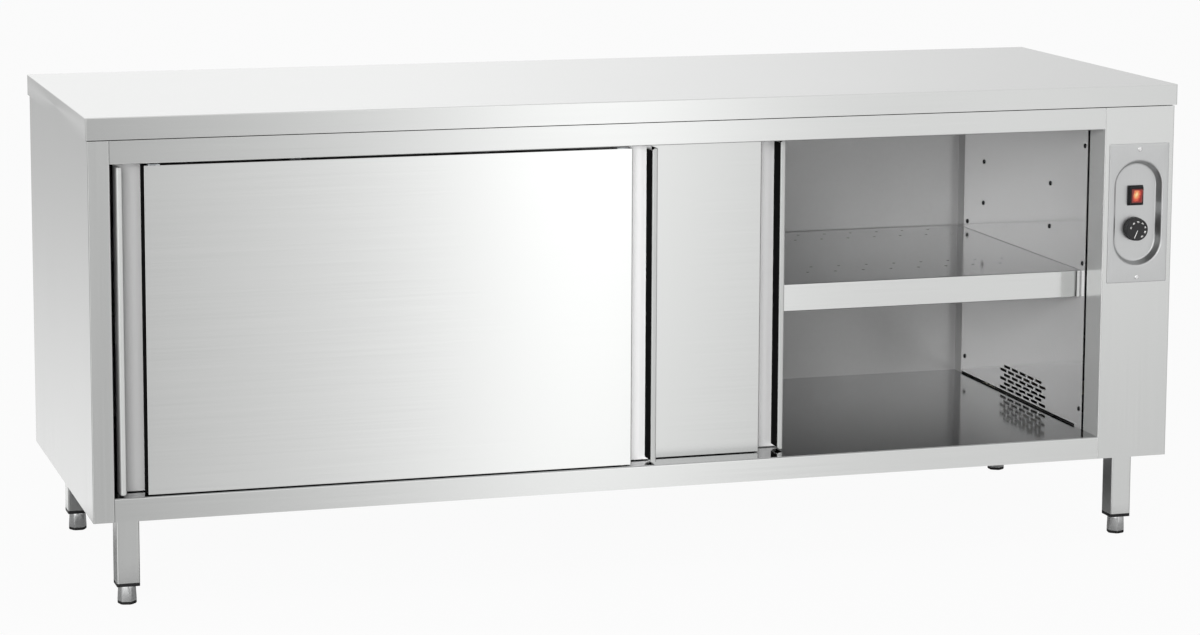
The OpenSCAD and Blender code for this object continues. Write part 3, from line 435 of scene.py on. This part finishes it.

# Lining: the right wall and the runners are bright-annealed stainless that mirrors the
# shelf and floor, and the left wall and the back keep a duller mill finish, coloured
# darker as painted shade for the inside of the cupboard. The fold of the column
# beside the opening is coloured darker than its front, a painted shade.
column_inside = 0.9
bright_annealed = stainless(
    "stainless_bright_annealed", grain=rolled, around="Z", colour="#F2F2F2",
    metal=0.8, shine=0.1, stretch=0, scratch=0.000002)
# Partly painted shade: the duller finish is real, and its dark grey also stands in for the shade
# inside
mill_finish_and_shade = stainless(
    "stainless_mill_finish_and_shade", grain=rolled, around="Z", colour="#A0A0A0",
    metal=0.6, shine=0.32, stretch=0, scratch=0.000004)
# Painted shade: a darker copy of the column's ground steel for its inner face
frame_return_shade = stainless(
    "stainless_frame_return_shaded", grain=upright_belt, around="Z", colour="#C4C5C4",
    metal=0.65, shine=0.2, stretch=0.5, scratch=0.000001)
dress(bright_annealed, "liner_right")
dress(mill_finish_and_shade, "liner_left", "liner_back")
# The runners' tops get the painted shade, for the dark gap beside the shelf
coat(nodes["shelf_runners"], bright_annealed, near_black_shade)
for face in nodes["shelf_runners"].data.polygons:
    if face.normal.z > 0.5:
        face.material_index = 1
coat(nodes["side_right"], ground_upright, frame_return_shade)
for face in nodes["side_right"].data.polygons:
    if face.normal.x < -0.5 and face.center.x < column_inside:
        face.material_index = 1

# Floor and shelf: a dull-rolled floor and a bright-rolled shelf that lie loose in
# the heated space and mirror its walls. The shelf is punched with rows of holes,
# whose edges are coloured near black as painted shade, and its front is folded
# down and ground.
punched_reach = 0.85
punched_margin = 0.01
shelf_gauge = 0.002
fine_rolled = (30, 30, 30)
bright_rolled = stainless(
    "stainless_bright_rolled", grain=fine_rolled, around="Z", colour="#C8C9C9",
    metal=1, shine=0.1, stretch=0, scratch=0.000002)
dull_rolled = stainless(
    "stainless_dull_rolled", grain=fine_rolled, around="Z", colour="#AEAFAF",
    metal=1, shine=0.1, stretch=0, scratch=0.000002)
dress(dull_rolled, "floor_plate")
dress(bright_rolled, "shelf_beam")
coat(nodes["shelf"], ground_lengthwise, bright_rolled, near_black_shade)
low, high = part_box("shelf")
middle = (low + high) / 2
# The walls of the punched holes get the painted shade
for face in nodes["shelf"].data.polygons:
    spot = face.center
    punched = abs(spot.x - middle.x) < punched_reach and (
        low.y + punched_margin < spot.y < high.y - punched_margin)
    if face.normal.z > 0.5:
        face.material_index = 1
    elif abs(face.normal.z) < 0.1 and punched and spot.z > high.z - shelf_gauge:
        face.material_index = 2


# Pegs and screws: stainless pan heads with a cross recess. The pegs hold the shelf
# runners at three heights, and screws hold the lining, the back and the control
# plate. Those on the inner walls are coloured dark, a painted shade, and the others are bright.
def headed(name, shank, length, head, height):
    screw = turned(name, 20, (
        (shank, -length), (shank, 0), (head, 0), (head, 0.35 * height),
        (0.9 * head, 0.68 * height), (0.7 * head, 0.9 * height), (0.4 * head, height)))
    for turn in (0, math.pi / 2):
        bpy.ops.object.select_all(action="DESELECT")
        bpy.ops.mesh.primitive_cube_add(size=1, location=(0, 0, height), rotation=(0, 0, turn))
        blade = bpy.context.object
        blade.scale = (1.1 * head, 0.22 * head, 0.9 * height)
        cross = screw.modifiers.new("cross", "BOOLEAN")
        cross.operation = "DIFFERENCE"
        cross.object = blade
        bpy.context.view_layer.objects.active = screw
        bpy.ops.object.modifier_apply(modifier="cross")
        bpy.data.objects.remove(blade)
    return screw


def fastened(name, screw, places):
    copies = []
    for place, facing in places:
        copy = screw.copy()
        copy.data = screw.data.copy()
        turn = Vector(facing).to_track_quat("Z", "Y").to_matrix().to_4x4()
        copy.data.transform(Matrix.Translation(place) @ turn)
        bpy.context.scene.collection.objects.link(copy)
        copies.append(copy)
    bpy.data.objects.remove(screw)
    join(copies[0], copies[1:])
    copies[0].name = name
    return copies[0]


wall_right = 0.859
wall_left = -0.960
peg_rows = [(y, z) for y in (-0.1122, 0.2032) for z in (0.480, 0.558, 0.640)]
runner_top = 0.49
runner_gauge = 0.001
wall_screw_rows = [(y, z) for y in (-0.262, 0.281) for z in (0.2356, 0.5101, 0.7297)]
wall_depth = 0.3
back_y = 0.346
back_rows = (0.167, 0.801)
back_reach = 0.987
back_gaps = 5
plate_x = 0.928
plate_y = -0.3485
plate_screw_rows = (0.4955, 0.7325)
head_radius = 0.0045
head_height = 0.0025
shank_radius = 0.0025
peg_length = 0.004
screw_length = 0.003
drawn_wire = (5, 5, 900)
bright_steel = stainless(
    "bright_screw_steel", grain=drawn_wire, around="Z", colour="#F0F0F0",
    metal=1, shine=0.15, stretch=0, scratch=0.000003)
# Painted shade: a dark copy of the screw steel for the screws inside the cupboard
inside_screw_shade = stainless(
    "shaded_screw_steel", grain=drawn_wire, around="Z", colour="#3C3D3E",
    metal=1, shine=0.24, stretch=0, scratch=0.000003)
peg_spots = []
for y, z in peg_rows:
    seat = runner_gauge if z < runner_top else 0
    peg_spots.append(((wall_right - seat, y, z), (-1, 0, 0)))
    peg_spots.append(((wall_left + seat, y, z), (1, 0, 0)))
peg = headed("peg", shank_radius, peg_length, head_radius, head_height)
pegs = fastened("pegs", peg, peg_spots)
coat(pegs, inside_screw_shade)
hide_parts("wall_pegs")
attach(pegs, "cabinet")
screw_spots = []
for y, z in wall_screw_rows:
    screw_spots.append(((wall_right, y, z), (-1, 0, 0)))
    screw_spots.append(((wall_left, y, z), (1, 0, 0)))
for step in range(back_gaps + 1):
    for z in back_rows:
        screw_spots.append((((2 * step / back_gaps - 1) * back_reach, back_y, z), (0, 1, 0)))
for z in plate_screw_rows:
    screw_spots.append(((plate_x, plate_y, z), (0, -1, 0)))
fixing = headed("fixing", shank_radius, screw_length, head_radius, head_height)
fixings = fastened("fixings", fixing, screw_spots)
coat(fixings, bright_steel, inside_screw_shade)
for face in fixings.data.polygons:
    if abs(face.center.y) < wall_depth:
        face.material_index = 1
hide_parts("screws")
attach(fixings, "cabinet")

# Door gear: galvanised channels under the ceiling, rubber stops at their ends,
# nylon pins in the floor, and brackets with nylon rollers on top of the doors.
nylon = moulded("moulded_white_nylon", colour="#DAD8CF", shine=0.38, grain=900, depth=0.00002)
dress(zinc, "door_tracks", "front_hangers", "rear_hangers")
dress(rubber, "track_stops")
dress(nylon, "guide_pins", "front_roller_a", "front_roller_b", "rear_roller_a", "rear_roller_b")

# Doors: a ground tray in front, a flat sheet behind that forms the floor of the
# finger recesses, and a rolled lip down each edge. The walls of the recesses are
# coloured near black, a painted shade, and their floors are half matt; in the rear
# door the panel and the recess floors are coloured darker, a painted shade.
door_ground = stainless(
    "stainless_ground_door", grain=lengthwise_belt, around="X", colour="#E6E7E6",
    metal=1, shine=0.16, stretch=0.8, scratch=0.000001)
# Painted shade: the rear door's panel and recess floors are darker copies of the front door's
# steel
rear_door_shade = stainless(
    "stainless_ground_rear_door_shaded", grain=lengthwise_belt, around="X", colour="#CDCECD",
    metal=1, shine=0.16, stretch=0.8, scratch=0.000001)
recess_floor = stainless(
    "stainless_recess_floor", grain=upright_belt, around="Z", colour="#F0F0F0",
    metal=0.5, shine=0.32, stretch=0.3, scratch=0.000001)
rear_recess_shade = stainless(
    "stainless_rear_recess_shaded", grain=upright_belt, around="Z", colour="#D4D4D4",
    metal=0.5, shine=0.32, stretch=0.3, scratch=0.000001)
lip_steel = stainless(
    "stainless_rolled_lip", grain=upright_belt, around="Z", colour="#A8A9A8",
    metal=0.6, shine=0.34, stretch=0.4, scratch=0.0000005)
# Painted shade: a near-black matt sheet on the recess walls stands in for the shade there
recess_wall_shade = moulded(
    "painted_shade_recess_wall", colour="#0A0A0A", shine=0.8, grain=1500, depth=0.00002, gloss=0)


def scale_colour(material, factor):
    tree = material.node_tree
    base = tree.nodes["Principled BSDF"].inputs["Base Color"]
    scaled = add(tree, "ShaderNodeVectorMath", {
        0: base.links[0].from_socket, "Scale": factor}, operation="SCALE")
    tree.links.new(scaled.outputs[0], base)


# The left recess floor is coloured darker towards its left end, a painted shade
shade_full_x = -0.6
shade_none_x = -0.4
shade_share = 0.4
tree = recess_floor.node_tree
place = add(tree, "ShaderNodeTexCoord").outputs["Object"]
spot = add(tree, "ShaderNodeSeparateXYZ", {0: place})
left_recess_shade = add(tree, "ShaderNodeMapRange", {
    "Value": spot.outputs["X"], "From Min": shade_full_x, "From Max": shade_none_x,
    "To Min": shade_share, "To Max": 1})
scale_colour(recess_floor, left_recess_shade.outputs[0])
dress(recess_floor, "front_skin")
dress(rear_recess_shade, "rear_skin")
for name, ground in (("front_panel", door_ground), ("rear_panel", rear_door_shade)):
    coat(nodes[name], ground, recess_wall_shade)
    # The side faces of the panels get the painted shade
    for face in nodes[name].data.polygons:
        if abs(face.normal.x) > 0.5:
            face.material_index = 1
for name, recess in (("front_lips", recess_floor), ("rear_lips", rear_recess_shade)):
    low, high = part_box(name)
    middle = (low + high) / 2
    coat(nodes[name], lip_steel, recess_wall_shade, recess)
    # Lip faces that face into a recess get the painted shade; those facing out take the recess
    # floor's steel
    for face in nodes[name].data.polygons:
        if abs(face.normal.x) > 0.9:
            inward = face.normal.x * (middle.x - face.center.x) > 0
            face.material_index = 1 if inward else 2

# Worktop: one stainless sheet folded down at all four edges, ground along its
# length and set on the cabinet with a narrow shadow joint.
dress(ground_lengthwise, "worktop")

# Control plate: a stainless plate with a drawn bowl that keeps the switch and the
# knob clear of passing trays. Its rim and floor are rolled over soft radii, and two
# holes let the switch and the thermostat's shaft through.
plate_z = 0.614
plate_gauge = 0.001
plate_corner = 0.002
bowl_run = 0.0495
bowl_steps = 36
bowl_profile = (
    (0.0500, 0), (0.0486, 0.0004), (0.0474, 0.0013), (0.0466, 0.0028), (0.0424, 0.0126),
    (0.0414, 0.0146), (0.0398, 0.0157), (0.0378, 0.0160),
)
bowl_depth = bowl_profile[-1][1]
past_bowl_x = 0.0505
past_bowl_z = 0.1005
edge_profile = (
    (0.1150, 0.2530, 0), (0.1174, 0.2554, 0.0005), (0.1186, 0.2566, 0.0013),
    (0.1190, 0.2570, 0.0025),
)
switch_hole = (0.0256, 0.0336)
switch_rise = 0.031
shaft_hole = 0.0053
shaft_rise = -0.031
touch = 0.00001
lying = (math.pi / 2, 0, 0)


def choose(test):
    shape = bmesh.from_edit_mesh(bpy.context.object.data)
    bpy.ops.mesh.select_all(action="DESELECT")
    for point in shape.verts:
        if test(point.co):
            point.select_set(True)
    shape.select_flush(True)
    bmesh.update_edit_mesh(bpy.context.object.data)


bpy.ops.object.select_all(action="DESELECT")
bpy.ops.mesh.primitive_plane_add(size=0.001)
plate = bpy.context.object
plate.name = "switch_plate"
bpy.ops.object.mode_set(mode="EDIT")
bpy.ops.mesh.select_all(action="SELECT")
bpy.ops.mesh.merge(type="CENTER")
bpy.ops.transform.translate(value=(bowl_profile[0][0], bowl_profile[0][1], 0))
for before, after in zip(bowl_profile, bowl_profile[1:]):
    bpy.ops.mesh.extrude_vertices_move(TRANSFORM_OT_translate={
        "value": (after[0] - before[0], after[1] - before[1], 0)})
bpy.ops.mesh.select_all(action="SELECT")
bpy.ops.transform.translate(value=(0, 0, bowl_run))
bpy.ops.mesh.spin(
    steps=bowl_steps, angle=math.pi, center=(0, 0, bowl_run), axis=(0, 1, 0))
choose(lambda p: abs(p.z - bowl_run) < touch)
bpy.ops.mesh.extrude_region_move(TRANSFORM_OT_translate={"value": (0, 0, -bowl_run)})
bpy.ops.object.mode_set(mode="OBJECT")
halves = plate.modifiers.new("halves", "MIRROR")
halves.use_axis = (False, False, True)
halves.merge_threshold = 0.00005
bpy.ops.object.modifier_apply(modifier="halves")
bpy.ops.object.mode_set(mode="EDIT")
bpy.ops.mesh.primitive_plane_add(size=1, rotation=lying)
bpy.ops.transform.resize(
    value=(edge_profile[0][0], 1, edge_profile[0][1]), center_override=(0, 0, 0))
bpy.ops.mesh.bevel(offset=plate_corner, segments=4, affect="VERTICES")
bpy.ops.mesh.delete(type="ONLY_FACE")
for before, after in zip(edge_profile, edge_profile[1:]):
    choose(lambda p: abs(p.y - before[2]) < touch and (
        abs(p.x) > past_bowl_x or abs(p.z) > past_bowl_z))
    bpy.ops.mesh.extrude_edges_move(
        TRANSFORM_OT_translate={"value": (0, after[2] - before[2], 0)})
    bpy.ops.transform.resize(
        value=(after[0] / before[0], 1, after[1] / before[1]),
        center_override=(0, after[2], 0))
choose(lambda p: abs(p.y) < touch)
bpy.ops.mesh.fill()
bpy.ops.mesh.primitive_plane_add(
    size=1, rotation=lying, location=(0, bowl_depth, switch_rise))
bpy.ops.transform.resize(
    value=(switch_hole[0], 1, switch_hole[1]), center_override=(0, bowl_depth, switch_rise))
bpy.ops.mesh.delete(type="ONLY_FACE")
bpy.ops.mesh.primitive_circle_add(
    vertices=24, radius=shaft_hole, fill_type="NOTHING", rotation=lying,
    location=(0, bowl_depth, shaft_rise))
choose(lambda p: abs(p.y - bowl_depth) < touch)
bpy.ops.mesh.fill()
bpy.ops.mesh.select_all(action="SELECT")
bpy.ops.mesh.remove_doubles(threshold=touch)
bpy.ops.mesh.normals_make_consistent(inside=False)
bpy.ops.transform.translate(value=(plate_x, plate_y, plate_z))
bpy.ops.object.mode_set(mode="OBJECT")
gauge = plate.modifiers.new("gauge", "SOLIDIFY")
gauge.thickness = plate_gauge
gauge.offset = -1
bpy.ops.object.modifier_apply(modifier="gauge")
bpy.ops.object.shade_smooth_by_angle(angle=math.radians(35))
even = plate.modifiers.new("even", "WEIGHTED_NORMAL")
even.weight = 100
even.keep_sharp = True
bpy.ops.object.modifier_apply(modifier="even")
plate_steel = stainless(
    "stainless_drawn_plate", grain=(500, 500, 5), around="Z", colour="#D4D5D5",
    metal=1, shine=0.34, stretch=0.3, scratch=0.000001)
# The wall of the bowl is coloured darker than the flat sheet where it turns away from the front,
# a painted shade
rim_depth = 0.003
bowl_shade_share = 0.66
tree = plate_steel.node_tree
normal = add(tree, "ShaderNodeNewGeometry").outputs["Normal"]
facing = add(tree, "ShaderNodeSeparateXYZ", {0: normal})
square = add(tree, "ShaderNodeMath", {0: facing.outputs["Y"]}, operation="ABSOLUTE")
place = add(tree, "ShaderNodeTexCoord").outputs["Object"]
inset = add(tree, "ShaderNodeSeparateXYZ", {0: place})
at_rim = add(tree, "ShaderNodeMath", {
    0: inset.outputs["Y"], 1: plate_y + rim_depth}, operation="LESS_THAN")
unshaded = add(tree, "ShaderNodeMath", {
    0: square.outputs[0], 1: at_rim.outputs[0]}, operation="MAXIMUM")
bowl_shade = add(tree, "ShaderNodeMapRange", {
    "Value": unshaded.outputs[0], "From Min": 0.45, "From Max": 0.9,
    "To Min": bowl_shade_share, "To Max": 1})
scale_colour(plate_steel, bowl_shade.outputs[0])
coat(plate, plate_steel)
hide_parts("control_plate")
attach(plate, "cabinet")

# Switch: a black hood pressed into the bowl, with a red see-through rocker that
# its lamp lights from behind. The rocker snaps between its two stops.
hood = softened("rocker_bezel", edge=0.0012, turn=40)
coat(hood, black_plastic)
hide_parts("rocker_bezel")
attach(hood, "cabinet")
lamp_x = 0.92566
lamp_z = 0.6475
lamp_reach_x = 1 / 76
lamp_reach_z = 1 / 48
flecks_per_metre = 420
fleck_share = 0.6
glow_stops = ((0.4, "#FFE6A4"), (0.58, "#F2A468"), (0.8, "#DC5C45"), (1.0, "#8A1F1A"))
glow_strength = 0.8
rim_from = 0.72
rim_to = 0.8
lit_red, tree = blank("lit_red_polycarbonate")
place = add(tree, "ShaderNodeTexCoord").outputs["Object"]
filament = add(tree, "ShaderNodeMapping", {
    "Vector": place, "Location": (-lamp_x / lamp_reach_x, 0, -lamp_z / lamp_reach_z),
    "Scale": (1 / lamp_reach_x, 0, 1 / lamp_reach_z)})
away = add(tree, "ShaderNodeVectorMath", {0: filament.outputs[0]}, operation="LENGTH")
flecks = add(tree, "ShaderNodeTexNoise", {
    "Vector": place, "Scale": flecks_per_metre, "Detail": 3, "Roughness": 0.7})
blotch = add(tree, "ShaderNodeMath", {
    0: flecks.outputs[0], 1: fleck_share, 2: away.outputs["Value"]}, operation="MULTIPLY_ADD")
core = add(tree, "ShaderNodeValToRGB", {0: blotch.outputs[0]})
while len(core.color_ramp.elements) < len(glow_stops):
    core.color_ramp.elements.new(0.5)
for stop, (position, colour) in zip(core.color_ramp.elements, glow_stops):
    stop.position = position
    stop.color = linear(colour)
# The clear rim round the lit middle is duller and pinker
low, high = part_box("rocker")
from_middle = add(tree, "ShaderNodeVectorMath", {
    0: place, 1: (low + high) / 2}, operation="SUBTRACT")
in_halves = add(tree, "ShaderNodeVectorMath", {
    0: from_middle.outputs[0], 1: (high - low) / 2}, operation="DIVIDE")
unsigned = add(tree, "ShaderNodeVectorMath", {0: in_halves.outputs[0]}, operation="ABSOLUTE")
both_ways = add(tree, "ShaderNodeSeparateXYZ", {0: unsigned.outputs[0]})
outward = add(tree, "ShaderNodeMath", {
    0: both_ways.outputs["X"], 1: both_ways.outputs["Z"]}, operation="MAXIMUM")
rim = add(tree, "ShaderNodeMapRange", {
    "Value": outward.outputs[0], "From Min": rim_from, "From Max": rim_to})
glow = add(tree, "ShaderNodeMix", {
    0: rim.outputs[0], 6: core.outputs[0], 7: linear("#6E3A35")}, data_type="RGBA")
relief = add(tree, "ShaderNodeBump", {
    "Height": flecks.outputs[0], "Strength": 0.3, "Distance": 0.00002})
skin = add(tree, "ShaderNodeBsdfPrincipled", {
    "Base Color": linear("#3C0C0B"), "Roughness": 0.3, "Emission Color": glow.outputs[2],
    "Emission Strength": glow_strength, "Normal": relief.outputs[0]})
add(tree, "ShaderNodeOutputMaterial", {"Surface": skin.outputs[0]})
lens = softened("rocker", edge=0.0006, turn=30)
coat(lens, lit_red)
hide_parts("rocker")
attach(lens, "switch_rocker")

# Knob: black moulded plastic with a skirt and a shallow dish in its face, pushed
# on the thermostat's shaft. Its scale and pointer are printed white.
knob_z = 0.583
knob_back = -0.3355
knob_sides = 64
knob_profile = (
    (0.0031, 0.0110), (0.0031, 0), (0.0210, 0), (0.0215, 0.0005), (0.0215, 0.0034),
    (0.0212, 0.0039), (0.0207, 0.0042), (0.0204, 0.0122), (0.0200, 0.0132),
    (0.0193, 0.0138), (0.0184, 0.0140), (0.0177, 0.0139), (0.0172, 0.0137),
    (0.0100, 0.0136), (0.0010, 0.0136),
)
scale_degrees = (164.6, 126, 90, 53, 16.8, -17.8, -56)
scale_numbers = (30, 40, 50, 60, 70, 80, 90)
scale_radius = 0.0146
number_size = 0.0039
print_height = 0.01372
print_half = 0.00005
pointer_size = (0.0150, 0.0008, 2 * print_half)
pointer_middle = 0.0091
pointer_degrees = 246
knob = turned("scale_knob", knob_sides, knob_profile)
to_front = Matrix.Translation((plate_x, knob_back, knob_z)) @ Matrix.Rotation(math.pi / 2, 4, "X")
knob.data.transform(to_front)
knob_plastic = moulded(
    "black_phenolic", colour="#121213", shine=0.55, grain=1800, depth=0.00003)
coat(knob, knob_plastic)
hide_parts("knob")
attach(knob, "thermostat_knob")
white_print = moulded(
    "white_print", colour="#D2D2D0", shine=0.6, grain=1500, depth=0.00001)
marks = []
for degrees, number in zip(scale_degrees, scale_numbers):
    bpy.ops.object.select_all(action="DESELECT")
    bpy.ops.object.text_add()
    mark = bpy.context.object
    mark.data.body = str(number)
    mark.data.size = number_size
    mark.data.extrude = print_half
    mark.data.align_x = "CENTER"
    mark.data.align_y = "CENTER"
    bpy.ops.object.convert(target="MESH")
    lean = math.radians(degrees)
    seat = (scale_radius * math.cos(lean), scale_radius * math.sin(lean), print_height)
    mark.data.transform(
        to_front @ Matrix.Translation(seat) @ Matrix.Rotation(lean - math.pi / 2, 4, "Z"))
    marks.append(mark)
bpy.ops.object.select_all(action="DESELECT")
bpy.ops.mesh.primitive_cube_add(size=1)
pointer = bpy.context.object
bpy.ops.object.mode_set(mode="EDIT")
bpy.ops.transform.resize(value=pointer_size, center_override=(0, 0, 0))
bpy.ops.transform.translate(value=(pointer_middle, 0, print_height))
bpy.ops.object.mode_set(mode="OBJECT")
pointer.data.transform(to_front @ Matrix.Rotation(math.radians(pointer_degrees), 4, "Z"))
join(pointer, marks)
bpy.ops.object.mode_set(mode="EDIT")
bpy.ops.mesh.select_all(action="SELECT")
bpy.ops.mesh.remove_doubles(threshold=0.000002)
bpy.ops.mesh.normals_make_consistent(inside=False)
bpy.ops.object.mode_set(mode="OBJECT")
pointer.name = "knob_scale"
coat(pointer, white_print)
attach(pointer, "thermostat_knob")

# Thermostat, fan and terminals: bought-in pieces behind the column. The fan blows
# through the finned heater into the duct, and a lead can come in at the gland.
grey_abs = moulded("grey_abs", colour="#77797B", shine=0.5, grain=1500, depth=0.00003)
ivory = moulded("ivory_polyamide", colour="#D8D3C2", shine=0.45, grain=1500, depth=0.00002)
heated = stainless(
    "heat_tinted_steel", grain=(160, 160, 160), around="Z", colour="#8C7F72",
    metal=1, shine=0.42, stretch=0, scratch=0.00001)
dress(grey_abs, "thermostat")
dress(black_plastic, "fan_frame", "fan_rotor", "cable_gland")
dress(ivory, "terminal_block")
dress(heated, "heating_element")
